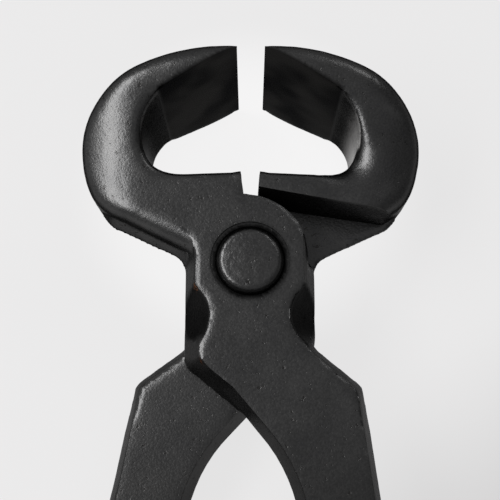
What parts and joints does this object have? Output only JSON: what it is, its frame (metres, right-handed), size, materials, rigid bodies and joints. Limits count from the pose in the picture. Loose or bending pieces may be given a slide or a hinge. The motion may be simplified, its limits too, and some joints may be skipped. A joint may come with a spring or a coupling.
{
  "type": "hoof nipper",
  "caption": "Long-handled forged steel hoof nipper with broad curved jaws, ground cutting blades and a riveted lap joint.",
  "frame": {"origin": "centre of the flat face of the rivet head on the back of the joint", "axes": "+Z along the pivot toward the front arm's face, +Y along the tool toward the cutting blades, +X to the right in the picture, where the front arm's handle lies"},
  "size_m": [0.1136, 0.3557, 0.0423],
  "materials": {
    "front_arm": "black forge scale, satin",
    "rear_arm": "black forge scale, satin",
    "rivet": "black forge scale, satin"
  },
  "bodies": {
    "rear": {"rear_arm": "rear_arm", "rivet": "rivet"},
    "front": {"front_arm": "front_arm"}
  },
  "joints": [
    {"name": "jaw_pivot", "type": "hinge", "parent": "rear", "child": "front", "pos_m": [0, 0, 0.01475], "axis": [0, 0, 1], "range_deg": [-7, 55]}
  ]
}
